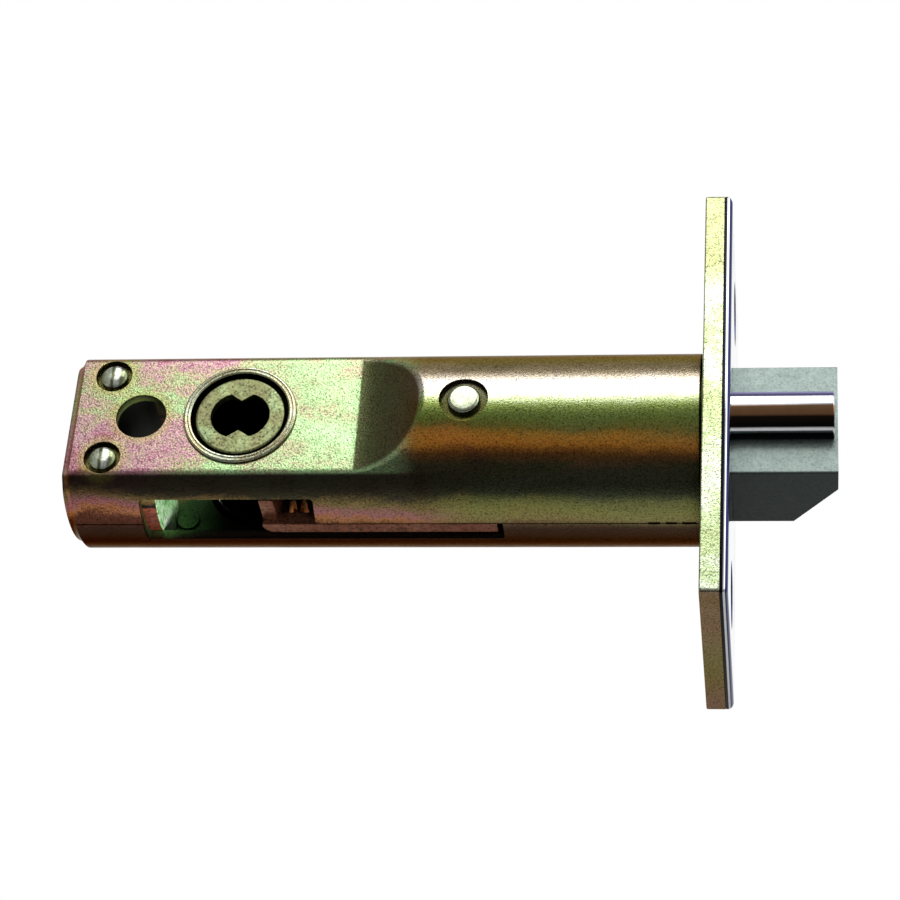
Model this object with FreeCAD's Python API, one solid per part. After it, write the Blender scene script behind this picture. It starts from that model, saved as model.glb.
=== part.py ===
import FreeCAD, Part
import math
import os

# Tubular door latch with a spring bolt and a guard plunger beside it.
# +X is the way the bolt is thrown, +Z runs along the faceplate, Y is the spindle's axis.
# The origin is on the tube's axis, at the back of the backing plate. All sizes are in millimetres.

V = FreeCAD.Vector
X_DIR = V(1, 0, 0)
Y_DIR = V(0, 1, 0)
Z_DIR = V(0, 0, 1)

# Plates
plate_length = 57.15
plate_width = 28.575
backing_thickness = 2.35
face_thickness = 1.0
plate_corner = 0.5
face_edge = 0.25
backing_edge = 0.2
screw_spacing = 41.3
screw_hole_r = 2.2
countersink_r = 4.2
countersink_depth = 2.0

# Housing tube
backset = 60.325
tube_r = 11.9
tube_wall = 1.3
tube_rear = 78.75
flat_height = 8.4
flat_length = 36.0
run_out_r = 11.4
end_chamfer_length = 1.2
end_chamfer_depth = 1.5
round_chamfer_depth = 0.9
spigot_step = 0.6
neck_gap = 0.35
seat_relief_depth = 0.25
seat_relief_gap = 0.15
seam_y = -1.95
seam_width = 0.14
fit = 0.05

# Openings in the tube
window_front = 47.4
window_behind_block = 1.85
window_near_y = -5.6
slot_near_y = -2.0
slot_far_y = 1.4
slot_front = 24.4
lock_screw_x = 69.44
lock_screw_r = 3.17

# Hub
hub_r = 5.6
hub_bearing_gap = 0.06
hub_face_gap_r = 6.1
hub_face_gap_depth = 0.9
collar_r = 7.05
collar_neck_r = 6.5
collar_proud = 0.45
collar_rounding = 0.8
hub_below_collar = 0.4
hub_edge = 0.3
spindle_hole_r = 3.25
spindle_hole_shift = 0.45
spindle_tooth_tip = 2.15
spindle_tooth_half_width = 1.6
finger_centre_r = 8.6
finger_tip_r = 1.4
finger_stalk_half = 1.15
finger_thickness = 3.2
finger_near_y = -5.0

# Bolt
throw = 12.7
bolt_near_y = -6.76
bolt_far_y = 4.29
bolt_half_height = 7.73
bolt_tail_end = 9.0
bevel_start_y = -3.07
bevel_length = 5.5
bolt_gap = 0.2
bolt_edge = 0.25
guide_side_gap = 0.6

# Guard plunger
plunger_half_width = 2.95
plunger_bore_gap = 0.3
plunger_set_back = 0.42
plunger_end_gap = 0.2
plunger_tip_chamfer = 0.18
plunger_gap = 0.06
plunger_travel = 12.0
keel_r = 2.1
keel_y = -7.2
keel_front = 2.0
keel_gap = 0.15
stem_r = 1.2
stem_end_gap = 0.4

# Retractor, one bent plate that joins the bolt to the hub's fingers
plate_near_y = -1.2
plate_thickness = 1.8
arm_below_surface = 0.55
arm_height = 1.75
arm_front_gap = 0.8
tab_gap = 0.4
tab_inner = 6.5
tab_bore_gap = 0.2
tab_end_gap = 0.5
bend_inset = 0.27
web_rear = 33.0
web_front_gap = 0.6
tongue_half_height = 2.6
tongue_front = 3.0
spring_tab_low = 8.0
spring_tab_high = 4.0
spring_tab_end_y = 6.7
spring_tab_thickness = 1.5

# Guide blocks
block_front = 26.0
block_rear = 32.0
block_gap = 0.25
guide_rivet_x = 28.9
guide_rivet_head_r = 2.0
guide_recess_r = 3.0
guide_recess_depth = 0.65
guide_head_below = 0.12
guide_head_edge = 0.25
guide_shank_r = 1.2
guide_shank_depth = 0.9

# Rear end
end_block_gap = 0.28
end_cap_thickness = 1.6
rear_pin_x = 73.62
rear_pin_z = 6.06
rear_pin_r = 1.65
rear_recess_r = 2.3
rear_recess_depth = 0.5
rear_head_below = 0.08
rear_head_rise = 0.3
flat_stud_x = 65.65
flat_stud_inset = 2.35
flat_stud_r = 1.45
flat_stud_proud = 0.35

# Front guide
front_guide_length = 12.0

# Springs
bolt_spring_wire = 0.9
bolt_spring_gap = 0.25
bolt_spring_turns = 5
plunger_spring_wire = 0.5
plunger_spring_gap = 0.25
plunger_spring_turns = 7
pocket_gap = 0.35
pocket_floor = 1.0
return_spring_wire = 0.6
return_spring_r = 1.4
return_spring_y = 4.7
return_spring_turns = 6
lug_thickness = 1.1
lug_rear_gap = 0.35

# Bolt pin
bolt_pin_r = 1.2
bolt_pin_x = 5.6
bolt_pin_near_y = -3.6
bolt_pin_below = 0.1

# Worked out from the sizes above
face_x = backing_thickness + face_thickness
hub_x = face_x - backset
run_out_x = -tube_rear + flat_length
bore_r = tube_r - tube_wall
spigot_r = tube_r - spigot_step
flat_bore = flat_height - tube_wall
bolt_tip = face_x + throw
plate_far_y = plate_near_y + plate_thickness
plunger_flank_y = -(bore_r - plunger_bore_gap - plunger_half_width)
arm_outer = tube_r - arm_below_surface
arm_inner = arm_outer - arm_height
tab_outer = bore_r - tab_bore_gap
guide_recess_y = tube_r - guide_recess_depth
flat_stud_z = flat_stud_inset - math.sqrt(bore_r * bore_r - flat_bore * flat_bore)
plunger_tail = block_front - throw - plunger_travel - plunger_end_gap
stem_length = block_rear - pocket_floor - stem_end_gap - throw - plunger_travel - plunger_tail
finger_angle = math.degrees(math.asin(throw / 2 / finger_centre_r))
hub_travel = 2 * finger_angle
tab_front = hub_x + throw / 2 - finger_tip_r - tab_gap
tab_rear = tab_front - plate_thickness
end_block_front = throw - tab_rear + end_block_gap
window_rear = end_block_front + window_behind_block
tongue_r = math.hypot(tongue_half_height, plate_thickness / 2)
plate_mid_y = plate_near_y + plate_thickness / 2
bolt_spring_inner = tongue_r + bolt_spring_gap
bolt_spring_mean = bolt_spring_inner + bolt_spring_wire / 2


def box(x0, x1, y0, y1, z0, z1):
    return Part.makeBox(x1 - x0, y1 - y0, z1 - z0, V(x0, y0, z0))


def rod_x(x0, x1, radius, y=0.0, z=0.0):
    return Part.makeCylinder(radius, x1 - x0, V(x0, y, z), X_DIR)


def rod_y(x, z, radius, y0, y1):
    return Part.makeCylinder(radius, y1 - y0, V(x, y0, z), Y_DIR)


def mirror_y(shape):
    return shape.mirror(V(0, 0, 0), Y_DIR)


def mirror_z(shape):
    return shape.mirror(V(0, 0, 0), Z_DIR)


def prism_z(points, z0, z1):
    wire = Part.makePolygon([V(x, y, z0) for x, y in points + points[:1]])
    return Part.Face(wire).extrude(V(0, 0, z1 - z0))


def prism_y(points, y0, y1):
    wire = Part.makePolygon([V(x, y0, z) for x, z in points + points[:1]])
    return Part.Face(wire).extrude(V(0, y1 - y0, 0))


def edges_along(shape, direction, keep):
    """Straight edges that run along a direction and whose middle passes the test."""
    found = []
    for edge in shape.Edges:
        if len(edge.Vertexes) != 2 or not isinstance(edge.Curve, Part.Line):
            continue
        run = edge.Vertexes[1].Point - edge.Vertexes[0].Point
        if run.cross(direction).Length < 1e-6 and keep(edge.CenterOfMass):
            found.append(edge)
    return found


def flat_cutter(offset):
    """What is taken off both sides of the round tube: a flat and its hollow run-out."""
    far = 2 * tube_r
    depth = flat_height - offset
    flat = box(-tube_rear - 1, run_out_x, depth, far, -far, far)
    centre = V(run_out_x, flat_height + run_out_r, -far)
    hollow = Part.makeCylinder(run_out_r + offset, 2 * far, centre, Z_DIR)
    side = flat.fuse(hollow)
    return side.fuse(mirror_y(side))


def tube_form(offset, rear, front):
    """The tube's outer form, drawn in by an offset."""
    return rod_x(rear, front, tube_r - offset).cut(flat_cutter(offset))


def chamfered_end(shape, offset):
    """Draws the tube's rear rim in, a little on the round and more on the flats."""
    rear = -tube_rear
    front = rear + end_chamfer_length
    length = end_chamfer_length + 1
    slope = end_chamfer_depth / end_chamfer_length
    round_slope = round_chamfer_depth / end_chamfer_length
    outer = tube_r - offset
    cone = Part.makeCone(outer - round_slope * length, outer, length, V(front - length, 0, 0), X_DIR)
    span = 2 * tube_r
    flat = flat_height - offset
    back = flat - slope * length
    wedge = [(front - length, -back), (front, -flat), (front, flat), (front - length, back)]
    keep = cone.common(prism_z(wedge, -span, span))
    rest = box(front, 1 + backing_thickness, -span, span, -span, span)
    return shape.common(keep.fuse(rest))


def make_housing_tube():
    outer = tube_form(0, -tube_rear, -neck_gap)
    outer = chamfered_end(outer, 0)
    tube = outer.fuse(rod_x(-neck_gap - 0.5, backing_thickness, spigot_r))
    bore = tube_form(tube_wall, -tube_rear + end_cap_thickness, backing_thickness + 1)
    tube = tube.cut(bore)
    lip = tube_form(tube_wall + end_chamfer_depth, -tube_rear - 1, -tube_rear + end_cap_thickness + 1)
    tube = tube.cut(lip)
    deep = 2 * tube_r
    window = box(-window_rear, -window_front, window_near_y, slot_far_y, -deep, 0)
    slot = box(-window_rear, -slot_front, slot_near_y, slot_far_y, -deep, 0)
    openings = window.fuse(slot).common(box(-deep * 4, 0, -deep, deep, -deep, -flat_bore / 2))
    seam = box(-tube_rear - 1, backing_thickness + 1, seam_y, seam_y + seam_width, -deep, -flat_bore)
    tube = tube.cut([openings, mirror_z(openings), seam])
    tube = tube.cut(rod_y(hub_x, 0, collar_neck_r, -deep, deep))
    tube = tube.cut(rod_y(-lock_screw_x, 0, lock_screw_r, -deep, deep))
    for z in (-rear_pin_z, rear_pin_z):
        tube = tube.cut(rod_y(-rear_pin_x, z, rear_pin_r, -deep, deep))
        for side in (-1, 1):
            tube = tube.cut(recess(-rear_pin_x, z, rear_recess_r, side, flat_height - rear_recess_depth))
    for side in (-1, 1):
        tube = tube.cut(recess(-guide_rivet_x, 0, guide_recess_r, side, guide_recess_y))
        tube = tube.cut(recess(-guide_rivet_x, 0, guide_shank_r, side, 0))
    return tube


def recess(x, z, radius, side, depth_y):
    """A round recess from outside, on the side with the given sign, down to a distance from the axis."""
    hole = rod_y(x, z, radius, depth_y, 2 * tube_r)
    return hole if side > 0 else mirror_y(hole)


def make_end_cap():
    """Plug that closes the tube's rear end, flush with the drawn-in rim."""
    offset = tube_wall + end_chamfer_depth
    return tube_form(offset, -tube_rear, -tube_rear + end_cap_thickness)


def make_end_block():
    rear = -tube_rear + end_cap_thickness
    block = tube_form(tube_wall, rear, -end_block_front)
    way = lock_screw_r + fit
    deep = 2 * tube_r
    block = block.cut(rod_y(-lock_screw_x, 0, way, -deep, deep))
    block = block.cut(box(-lock_screw_x, 0, -deep, deep, -way, way))
    for z in (-rear_pin_z, rear_pin_z):
        block = block.cut(rod_y(-rear_pin_x, z, rear_pin_r, -deep, deep))
    return block


def domed_rod(x, z, radius, y0, y1, rise):
    """A rod along Y with low domed ends that add the rise at each end."""
    body = rod_y(x, z, radius, y0 + rise, y1 - rise)
    dome_r = (radius * radius + rise * rise) / (2 * rise)
    for end, inward in ((y0, 1), (y1, -1)):
        ball = Part.makeSphere(dome_r, V(x, end + inward * dome_r, z))
        near = sorted((end, end + inward * (rise + 0.2)))
        body = body.fuse(ball.common(rod_y(x, z, radius, near[0], near[1])))
    return body.removeSplitter()


def make_rear_pin(z):
    half = flat_height - rear_head_below
    return domed_rod(-rear_pin_x, z, rear_pin_r, -half, half, rear_head_rise)


def make_flat_stud():
    return rod_y(-flat_stud_x, flat_stud_z, flat_stud_r, flat_bore - flat_stud_proud, flat_bore)


def plate_blank(x0, x1):
    """A flat rectangular plate with its four corners just broken."""
    half_width = plate_width / 2
    half_length = plate_length / 2
    plate = box(x0, x1, -half_width, half_width, -half_length, half_length)
    return plate.makeFillet(plate_corner, edges_along(plate, X_DIR, lambda p: True))


def outline_edges(plate, x):
    """Edges of a plate that lie wholly in the plane at x."""
    found = []
    for edge in plate.Edges:
        reach = edge.BoundBox
        if abs(reach.XMin - x) < 1e-6 and abs(reach.XMax - x) < 1e-6:
            found.append(edge)
    return found


def make_backing_plate():
    """Plate with a softened back edge and a shallow relief, so that a mortise floor clears the tube."""
    plate = plate_blank(0, backing_thickness)
    plate = plate.makeFillet(backing_edge, outline_edges(plate, 0))
    plate = plate.cut(rod_x(-1, backing_thickness + 1, spigot_r))
    plate = plate.cut(rod_x(-1, seat_relief_depth, tube_r + seat_relief_gap))
    return cut_screw_holes(plate)


def cut_screw_holes(plate):
    for z in (-screw_spacing / 2, screw_spacing / 2):
        cone_top = countersink_r + (countersink_r - screw_hole_r) / countersink_depth
        foot = V(face_x - countersink_depth, 0, z)
        cone = Part.makeCone(screw_hole_r, cone_top, countersink_depth + 1, foot, X_DIR)
        plate = plate.cut(rod_x(-1, face_x + 1, screw_hole_r, 0, z)).cut(cone)
    return plate


def plunger_bar(x0, x1, grow):
    """The plunger's half-round bar, with its flat foot just off the bolt."""
    half = plunger_half_width + grow
    flank = plunger_flank_y
    foot = bolt_near_y - plunger_gap + grow
    bottom = Part.LineSegment(V(x0, foot, half), V(x0, foot, -half)).toShape()
    low = Part.LineSegment(V(x0, foot, -half), V(x0, flank, -half)).toShape()
    crown = Part.Arc(V(x0, flank, -half), V(x0, flank - half, 0), V(x0, flank, half)).toShape()
    high = Part.LineSegment(V(x0, flank, half), V(x0, foot, half)).toShape()
    return Part.Face(Part.Wire([bottom, low, crown, high])).extrude(V(x1 - x0, 0, 0))


def bolt_way(x0, x1):
    """The opening that lets the bolt and its plunger through."""
    gap = bolt_gap
    half = bolt_half_height + gap
    way = box(x0, x1, bolt_near_y - gap, bolt_far_y + gap, -half, half)
    return way.fuse(plunger_bar(x0, x1, gap)).removeSplitter()


def make_face_plate():
    plate = plate_blank(backing_thickness, face_x)
    plate = plate.makeFillet(face_edge, outline_edges(plate, face_x))
    plate = plate.cut(bolt_way(0, face_x + 1))
    return cut_screw_holes(plate)


def make_front_guide():
    """Shoe in the tube's mouth that the bolt slides in, open beside the plunger."""
    guide = rod_x(-front_guide_length, backing_thickness, bore_r)
    guide = guide.cut(bolt_way(-front_guide_length - 1, face_x))
    span = 2 * tube_r
    return guide.common(box(-span, face_x, bolt_near_y + guide_side_gap, span, -span, span))


def make_hub_collar():
    """Near collar: a beaded ring outside and a neck pressed through the flat."""
    outer = flat_height + collar_proud
    bead = (collar_r - hub_face_gap_r) / 2
    ring = rod_y(hub_x, 0, collar_r, -outer, -flat_height)
    rim = [edge for edge in ring.Edges if abs(edge.BoundBox.YMin + outer) < 1e-6 and edge.Length > 1]
    ring = ring.makeFillet(min(bead, collar_proud) * collar_rounding, rim)
    neck = rod_y(hub_x, 0, collar_neck_r, -flat_height, -flat_bore)
    collar = ring.fuse(neck).removeSplitter()
    collar = collar.cut(rod_y(hub_x, 0, hub_r + hub_bearing_gap, -tube_r, 0))
    return collar.cut(rod_y(hub_x, 0, hub_face_gap_r, -tube_r, -outer + hub_face_gap_depth))


def spindle_way(y0, y1):
    """Bow-tie opening: a short round-ended slot with a tooth on each long side."""
    way = rod_y(hub_x - spindle_hole_shift, 0, spindle_hole_r, y0, y1)
    way = way.fuse(rod_y(hub_x + spindle_hole_shift, 0, spindle_hole_r, y0, y1))
    shift = spindle_hole_shift
    way = way.fuse(box(hub_x - shift, hub_x + shift, y0, y1, -spindle_hole_r, spindle_hole_r))
    half = spindle_tooth_half_width
    base = spindle_hole_r + 0.5
    wide = half * (base - spindle_tooth_tip) / (spindle_hole_r - spindle_tooth_tip)
    tooth = prism_y([(hub_x - wide, base), (hub_x + wide, base), (hub_x, spindle_tooth_tip)], y0, y1)
    return way.cut([tooth, mirror_z(tooth)])


def make_finger(angle):
    """One finger of the hub, at an angle forward of straight down."""
    y0 = finger_near_y
    y1 = finger_near_y + finger_thickness
    stalk = box(hub_x - finger_stalk_half, hub_x + finger_stalk_half, y0, y1, -finger_centre_r, 0)
    tip = rod_y(hub_x, -finger_centre_r, finger_tip_r, y0, y1)
    finger = stalk.fuse(tip)
    finger.rotate(V(hub_x, 0, 0), Y_DIR, -angle)
    return finger


def make_hub():
    length = flat_height + collar_proud - hub_below_collar
    hub = rod_y(hub_x, 0, hub_r, -length, length)
    rims = [edge for edge in hub.Edges if edge.Length > 1 and edge.BoundBox.YLength < 1e-6]
    hub = hub.makeFillet(hub_edge, rims)
    lower = make_finger(finger_angle)
    upper = mirror_z(lower)
    hub = hub.fuse([lower, upper]).removeSplitter()
    return hub.cut(spindle_way(-tube_r, tube_r))


def perch_rear():
    """Rear face of the retractor's tab for the return spring, clear of the far guide block."""
    return -block_rear - block_gap - spring_tab_thickness


def make_retractor():
    y0 = plate_near_y
    y1 = plate_far_y
    arm_front = -slot_front - arm_front_gap
    arm = box(tab_rear, arm_front, y0, y1, -arm_outer, -arm_inner)
    tab_near = window_near_y + tab_end_gap
    tab = box(tab_rear, tab_front, tab_near, y1, -tab_outer, -tab_inner)
    knee = box(tab_rear, tab_front, y0, y1, -arm_outer, -tab_inner)
    bend = plate_thickness - bend_inset
    side = arm.fuse([tab, knee]).removeSplitter()
    corner = edges_along(side, Z_DIR, lambda p: abs(p.x - tab_rear) < 1e-6 and abs(p.y - y1) < 1e-6)
    side = side.makeFillet(bend, corner)
    web = box(-web_rear, -block_front - web_front_gap, y0, y1, -arm_outer, arm_outer)
    tongue = box(-web_rear, -tongue_front, y0, y1, -tongue_half_height, tongue_half_height)
    perch_front = perch_rear() + spring_tab_thickness
    perch = box(perch_rear(), perch_front, y0, spring_tab_end_y, -spring_tab_low, -spring_tab_high)
    plate = web.fuse([side, mirror_z(side), tongue, perch]).removeSplitter()
    return plate.cut(rod_y(-bolt_pin_x, 0, bolt_pin_r, -tube_r, tube_r))


def make_guide_block():
    """Near half: a round-backed block with a pocket for the plunger's spring."""
    block = tube_form(tube_wall, -block_rear, -block_front)
    span = 2 * tube_r
    block = block.common(box(-span * 2, 0, -span, plate_near_y - block_gap, -span, span))
    pocket_r = stem_r + plunger_spring_gap + plunger_spring_wire + pocket_gap
    block = block.cut(rod_x(-block_rear + pocket_floor, 0, pocket_r, keel_y))
    return block.cut(rod_y(-guide_rivet_x, 0, guide_shank_r, -tube_r, -bore_r + guide_shank_depth))


def make_far_guide_block():
    block = tube_form(tube_wall, -block_rear, -block_front)
    span = 2 * tube_r
    block = block.common(box(-span * 2, 0, plate_far_y + block_gap, span, -span, span))
    return block.cut(rod_y(-guide_rivet_x, 0, guide_shank_r, bore_r - guide_shank_depth, tube_r))


def make_guide_rivet(side):
    """Flat-headed rivet in the tube's wall, seated in the block under it."""
    head_top = tube_r - guide_head_below
    head = rod_y(-guide_rivet_x, 0, guide_rivet_head_r, guide_recess_y, head_top)
    rim = [edge for edge in head.Edges if abs(edge.BoundBox.YMin - head_top) < 1e-6 and edge.Length > 1]
    head = head.makeFillet(guide_head_edge, rim)
    shank = rod_y(-guide_rivet_x, 0, guide_shank_r, bore_r - guide_shank_depth, guide_recess_y)
    rivet = head.fuse(shank).removeSplitter()
    return rivet if side > 0 else mirror_y(rivet)


def make_bolt():
    x0 = -bolt_tail_end
    profile = [
        (x0, bolt_near_y),
        (bolt_tip, bolt_near_y),
        (bolt_tip, bevel_start_y),
        (bolt_tip - bevel_length, bolt_far_y),
        (x0, bolt_far_y),
    ]
    bolt = prism_z(profile, -bolt_half_height, bolt_half_height)
    soft = edges_along(bolt, X_DIR, lambda p: True)
    bolt = bolt.makeFillet(bolt_edge, soft)
    bolt = bolt.cut(rod_x(x0 - 1, keel_front + keel_gap, keel_r + keel_gap, keel_y))
    gap = fit
    slot_half = tongue_half_height + gap
    slot = box(x0 - 1, -tongue_front + gap, plate_near_y - gap, plate_far_y + gap, -slot_half, slot_half)
    bolt = bolt.cut(slot)
    return bolt.cut(rod_y(-bolt_pin_x, 0, bolt_pin_r, bolt_pin_near_y, tube_r))


def make_bolt_pin():
    return rod_y(-bolt_pin_x, 0, bolt_pin_r, bolt_pin_near_y, bolt_far_y - bolt_pin_below)


def make_plunger():
    tip = bolt_tip - plunger_set_back
    bar = plunger_bar(-plunger_tail, tip, 0)
    rim = [edge for edge in bar.Edges if edge.BoundBox.XMin > tip - 1e-6]
    bar = bar.makeChamfer(plunger_tip_chamfer, rim)
    keel = rod_x(-plunger_tail, keel_front, keel_r, keel_y)
    stem = rod_x(-plunger_tail - stem_length, -plunger_tail, stem_r, keel_y)
    return bar.fuse([keel, stem]).removeSplitter()


def make_spring(x0, x1, y, z, mean_r, wire, turns):
    """Compression spring along X, a round wire swept on a helix between two x places."""
    length = x1 - x0 - wire
    helix = Part.makeHelix(length / turns, length, mean_r)
    section = Part.Wire([Part.Circle(V(mean_r, 0, 0), Y_DIR, wire / 2).toShape()])
    coil = Part.Wire(helix.Edges).makePipeShell([section], True, True)
    coil.rotate(V(0, 0, 0), Y_DIR, 90)
    coil.translate(V(x0 + wire / 2, y, z))
    return coil


def make_bolt_spring():
    x0 = -block_front
    x1 = -bolt_tail_end
    return make_spring(x0, x1, plate_mid_y, 0, bolt_spring_mean, bolt_spring_wire, bolt_spring_turns)


def make_plunger_spring():
    mean_r = stem_r + plunger_spring_gap + plunger_spring_wire / 2
    seat = -block_rear + pocket_floor
    return make_spring(seat, -plunger_tail, keel_y, 0, mean_r, plunger_spring_wire, plunger_spring_turns)


def return_spring_z():
    return -(spring_tab_low + spring_tab_high) / 2


def lug_front():
    return tab_front + lug_rear_gap


def make_return_spring():
    x0 = lug_front()
    x1 = perch_rear()
    z = return_spring_z()
    return make_spring(x0, x1, return_spring_y, z, return_spring_r, return_spring_wire, return_spring_turns)


def make_spring_lug():
    """Seat of the return spring, staked to the far flat."""
    front = lug_front()
    half = return_spring_r
    z = return_spring_z()
    low = return_spring_y - half
    lug = box(front - lug_thickness, front, low, flat_bore, z - half, z + half)
    inside = tube_form(tube_wall, -tube_rear, 0)
    return lug.common(inside)


def make_all():
    return {
        "housing_tube": make_housing_tube(),
        "end_cap": make_end_cap(),
        "end_block": make_end_block(),
        "rear_pin_upper": make_rear_pin(rear_pin_z),
        "rear_pin_lower": make_rear_pin(-rear_pin_z),
        "flat_stud": make_flat_stud(),
        "backing_plate": make_backing_plate(),
        "face_plate": make_face_plate(),
        "front_guide": make_front_guide(),
        "hub_collar_near": make_hub_collar(),
        "hub_collar_far": mirror_y(make_hub_collar()),
        "guide_block_near": make_guide_block(),
        "guide_block_far": make_far_guide_block(),
        "guide_rivet_near": make_guide_rivet(-1),
        "guide_rivet_far": make_guide_rivet(1),
        "spring_lug": make_spring_lug(),
        "hub": make_hub(),
        "retractor": make_retractor(),
        "latch_bolt": make_bolt(),
        "bolt_pin": make_bolt_pin(),
        "guard_plunger": make_plunger(),
        "bolt_spring": make_bolt_spring(),
        "plunger_spring": make_plunger_spring(),
        "return_spring": make_return_spring(),
    }


os.makedirs("parts", exist_ok=True)
for name, shape in make_all().items():
    solids = shape.Solids
    print(name, "solids", len(solids), "valid", shape.isValid(), "volume", round(shape.Volume, 2))
    body = solids[0] if len(solids) == 1 else Part.makeCompound(solids)
    body.exportStep("parts/" + name + ".step")
turn_per_metre = -math.radians(hub_travel) / (throw / 1000)
print("hub travel", round(hub_travel, 2), "degrees, turn per metre of bolt", round(turn_per_metre, 4))
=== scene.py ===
import math

import bmesh
import bpy
import numpy as np
from mathutils import Matrix, Vector


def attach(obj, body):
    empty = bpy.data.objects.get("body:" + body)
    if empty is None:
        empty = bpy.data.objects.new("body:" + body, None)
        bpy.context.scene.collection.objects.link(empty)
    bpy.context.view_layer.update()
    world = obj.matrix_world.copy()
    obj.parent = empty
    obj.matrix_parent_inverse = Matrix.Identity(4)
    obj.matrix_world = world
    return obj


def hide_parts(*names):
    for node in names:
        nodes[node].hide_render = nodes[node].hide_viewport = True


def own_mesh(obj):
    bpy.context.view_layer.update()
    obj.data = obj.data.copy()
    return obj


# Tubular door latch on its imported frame. Metres in Blender; the sizes below are in millimetres.
# +X is the way the bolt is thrown, +Z runs along the faceplate, the plunger's side is at -Y.

print("stage: load")
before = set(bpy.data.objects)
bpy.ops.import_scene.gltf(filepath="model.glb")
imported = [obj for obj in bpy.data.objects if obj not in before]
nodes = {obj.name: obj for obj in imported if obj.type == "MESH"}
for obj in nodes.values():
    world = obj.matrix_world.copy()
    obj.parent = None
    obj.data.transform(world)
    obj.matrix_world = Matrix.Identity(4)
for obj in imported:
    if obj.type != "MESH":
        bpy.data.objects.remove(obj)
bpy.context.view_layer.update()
mm = 0.001

# where the holes cross the tube: shared by its skin, the small pieces in the holes and the finishes
places = {"hubX": -56.975, "screwX": -69.44, "pinX": -73.62, "pinZ": 6.06, "rivetX": -28.9}
lineX, lineY, lineZ = (1.0, 0.0, 0.0), (0.0, 1.0, 0.0), (0.0, 0.0, 1.0)


def srgbHex(text):   # linear colour of an sRGB hex text
    parts = [int(text[i:i + 2], 16) / 255 for i in (1, 3, 5)]
    linear = [c / 12.92 if c <= 0.04045 else ((c + 0.055) / 1.055) ** 2.4 for c in parts]
    return (*linear, 1.0)


def addNode(tree, kind, output=None, inputs=(), stops=(), **settings):
    # Adds a node and returns it with the name of the wanted output. Inputs go by name, or in their order; one
    # whose value is such a (node, output) pair is linked, any other is set. Stops are (position, hex) pairs.
    node = tree.nodes.new("ShaderNode" + kind)
    for name, value in settings.items():
        setattr(node, name, value)
    for name, value in inputs.items() if isinstance(inputs, dict) else enumerate(inputs):
        if isinstance(value, tuple) and hasattr(value[0], "outputs"):
            tree.links.new(value[0].outputs[value[1]], node.inputs[name])
        else:
            node.inputs[name].default_value = value
    if stops:
        elements = node.color_ramp.elements
        while len(elements) < len(stops):
            elements.new(0.5)
        for element, (position, text) in zip(elements, stops):
            element.position = position
            element.color = srgbHex(text)
    return node, output


def newMaterial(name):   # a material with an empty tree
    material = bpy.data.materials.new(name)
    material.use_nodes = True
    material.node_tree.nodes.clear()
    return material


def giveSurface(material, inputs):   # ends a material's tree with its surface
    surface = addNode(material.node_tree, "BsdfPrincipled", "BSDF", inputs)
    addNode(material.node_tree, "OutputMaterial", inputs={"Surface": surface})
    return material


def objectPlace(tree, stretch=(1, 1, 1)):   # object coordinates in metres, times a factor for each axis
    coords = addNode(tree, "TexCoord", "Object")
    return addNode(tree, "Mapping", "Vector", {"Vector": coords, "Scale": stretch})


def gridMesh(points, closedRows=False):
    # quads over a grid of points (rows, columns, 3): a row is a closed ring; closedRows joins last to first
    rows, columns = points.shape[:2]
    i = np.arange(rows if closedRows else rows - 1)
    i, j = np.meshgrid(i, np.arange(columns), indexing="ij")
    i2 = (i + 1) % rows
    j2 = (j + 1) % columns
    quads = np.stack([i * columns + j, i * columns + j2, i2 * columns + j2, i2 * columns + j], -1)
    return points.reshape(-1, 3), quads.reshape(-1, 4)


def linkPiece(name, mesh):   # an object at the origin that shows a mesh
    piece = bpy.data.objects.new(name, mesh)
    bpy.context.scene.collection.objects.link(piece)
    return piece


def makePiece(name, points, quads):
    # a smooth piece from millimetre points and quads: doubles merged, faces turned outwards
    mesh = bpy.data.meshes.new(name)
    mesh.vertices.add(len(points))
    mesh.vertices.foreach_set("co", (points * mm).ravel())
    mesh.loops.add(quads.size)
    mesh.loops.foreach_set("vertex_index", quads.ravel())
    mesh.polygons.add(len(quads))
    mesh.polygons.foreach_set("loop_start", np.arange(len(quads)) * 4)
    mesh.update(calc_edges=True)
    mesh.polygons.foreach_set("use_smooth", np.full(len(quads), True))
    build = bmesh.new()
    build.from_mesh(mesh)
    bmesh.ops.remove_doubles(build, verts=build.verts, dist=1e-7)
    bmesh.ops.recalc_face_normals(build, faces=build.faces)
    build.to_mesh(mesh)
    build.free()
    return linkPiece(name, mesh)


def closedEnds(rings):   # a last ring at each end, with all its points in the end's middle
    ends = [np.repeat(ring.mean(0)[None], len(ring), 0) for ring in (rings[0], rings[-1])]
    return np.stack([ends[0], *rings, ends[1]])


def alongX(name, rings):   # closed solid through (x, outline) rings of equal length
    rings = [np.column_stack([np.full(len(outline), x), outline]) for x, outline in rings]
    return makePiece(name, *gridMesh(closedEnds(rings)))


def circleOutline(x, z, radius, steps=64):   # (x, z) points round a circle
    turn = np.linspace(0, 2 * math.pi, steps, endpoint=False)
    return np.stack([x + radius * np.cos(turn), z + radius * np.sin(turn)], -1)


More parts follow.
